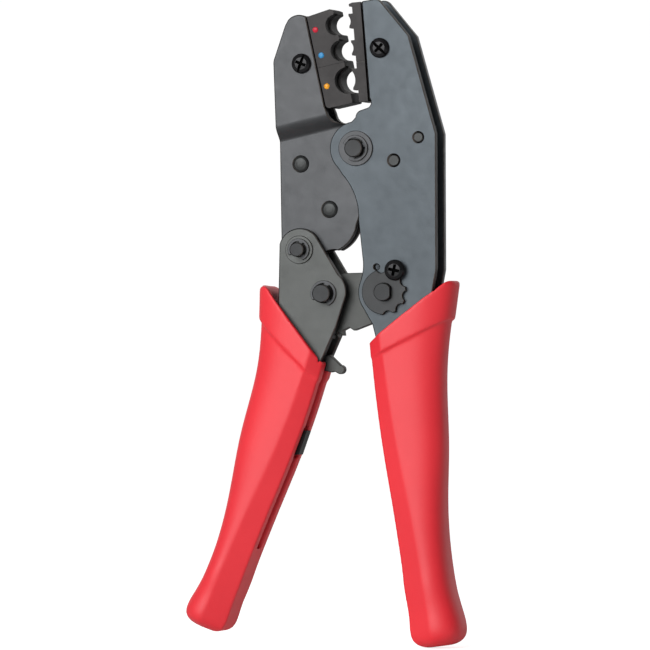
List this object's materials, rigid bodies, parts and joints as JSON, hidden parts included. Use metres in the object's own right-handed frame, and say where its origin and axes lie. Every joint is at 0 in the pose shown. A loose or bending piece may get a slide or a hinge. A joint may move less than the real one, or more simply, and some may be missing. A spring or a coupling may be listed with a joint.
{
  "type": "ratchet crimping tool",
  "caption": "Hand crimping tool with black steel plates, toggle ratchet action, nested dies for insulated terminals and red moulded grips.",
  "frame": {"origin": "bottom centre of the bounding box: middle of the width and of the thickness, at the level of the lower grip end", "axes": "+Z from the grip ends up to the jaws, -Y out of the front face with the adjuster wheel and size dots, +X from the moving handle to the fixed handle"},
  "size_m": [0.0998, 0.0227, 0.2259],
  "materials": {
    "black_steel": "satin black oxide",
    "die_steel": "matte black oxide",
    "pin_steel": "satin black oxide",
    "rivet_steel": "satin black oxide",
    "fastener_black": "semi-gloss black",
    "bracket_black": "satin black",
    "spring_steel": "bright wire",
    "red_grip": "soft matte",
    "red_mark": "gloss enamel",
    "blue_mark": "gloss enamel",
    "yellow_mark": "gloss enamel"
  },
  "bodies": {
    "frame": {"front_frame_plate": "black_steel", "rear_frame_plate": "black_steel", "frame_spacer": "black_steel", "frame_rivets": "rivet_steel", "tang_spacer": "black_steel", "tang_rivets": "rivet_steel", "fixed_grip": "red_grip", "fixed_die": "die_steel", "fixed_die_screw": "fastener_black", "main_pivot_pin": "pin_steel", "main_pivot_washer": "black_steel", "main_pivot_clip": "pin_steel", "eccentric_pin": "pin_steel", "eccentric_clip": "pin_steel", "adjuster_wheel": "black_steel", "adjuster_lock_screw": "fastener_black", "link_bushes": "pin_steel"},
    "moving_jaw": {"front_jaw_plate": "black_steel", "rear_jaw_plate": "black_steel", "jaw_spacer": "black_steel", "jaw_rivets": "rivet_steel", "moving_die": "die_steel", "moving_die_screw": "fastener_black", "red_size_dot": "red_mark", "blue_size_dot": "blue_mark", "yellow_size_dot": "yellow_mark", "spring_post": "pin_steel"},
    "moving_handle": {"front_handle_plate": "black_steel", "rear_handle_plate": "black_steel", "handle_spacer": "bracket_black", "handle_end_spacer": "black_steel", "handle_rivets": "rivet_steel", "handle_pivot_pin": "pin_steel", "handle_pivot_washer": "black_steel", "handle_pivot_clip": "pin_steel", "toggle_pin": "pin_steel", "toggle_clip": "pin_steel", "toggle_bushes": "pin_steel", "pawl_pin": "pin_steel", "pawl_bushes": "pin_steel", "spring_anchor_pin": "pin_steel", "pawl_spring_anchor": "pin_steel", "return_spring": "spring_steel", "pawl_spring": "spring_steel", "moving_grip": "red_grip"},
    "toggle_link": {"ratchet_link": "black_steel"},
    "pawl": {"ratchet_pawl": "black_steel"}
  },
  "joints": [
    {"name": "jaw_pivot", "type": "hinge", "parent": "frame", "child": "moving_jaw", "pos_m": [0.01264, 0, 0.17395], "axis": [0, 1, 0], "range_deg": [0, 7.4]},
    {"name": "handle_pivot", "type": "hinge", "parent": "moving_jaw", "child": "moving_handle", "pos_m": [-0.00776, 0, 0.13865], "axis": [0, -1, 0], "range_deg": [0, 32], "stiffness_Nm_per_rad": 0.4, "springref_deg": -51.57, "deforming": ["return_spring"]},
    {"name": "link_pivot", "type": "hinge", "parent": "frame", "child": "toggle_link", "pos_m": [0.02279, 0, 0.12446], "axis": [0, 1, 0], "range_deg": [0, 20]},
    {"name": "pawl_release", "type": "hinge", "parent": "moving_handle", "child": "pawl", "pos_m": [-0.00796, 0, 0.10235], "axis": [0, 1, 0], "range_deg": [0, 12], "stiffness_Nm_per_rad": 0.02, "springref_deg": -28.65, "deforming": ["pawl_spring"]}
  ],
  "couplings": [
    {"joint": "jaw_pivot", "follows": "handle_pivot", "ratio": 0.228},
    {"joint": "link_pivot", "follows": "handle_pivot", "ratio": 0.62}
  ]
}
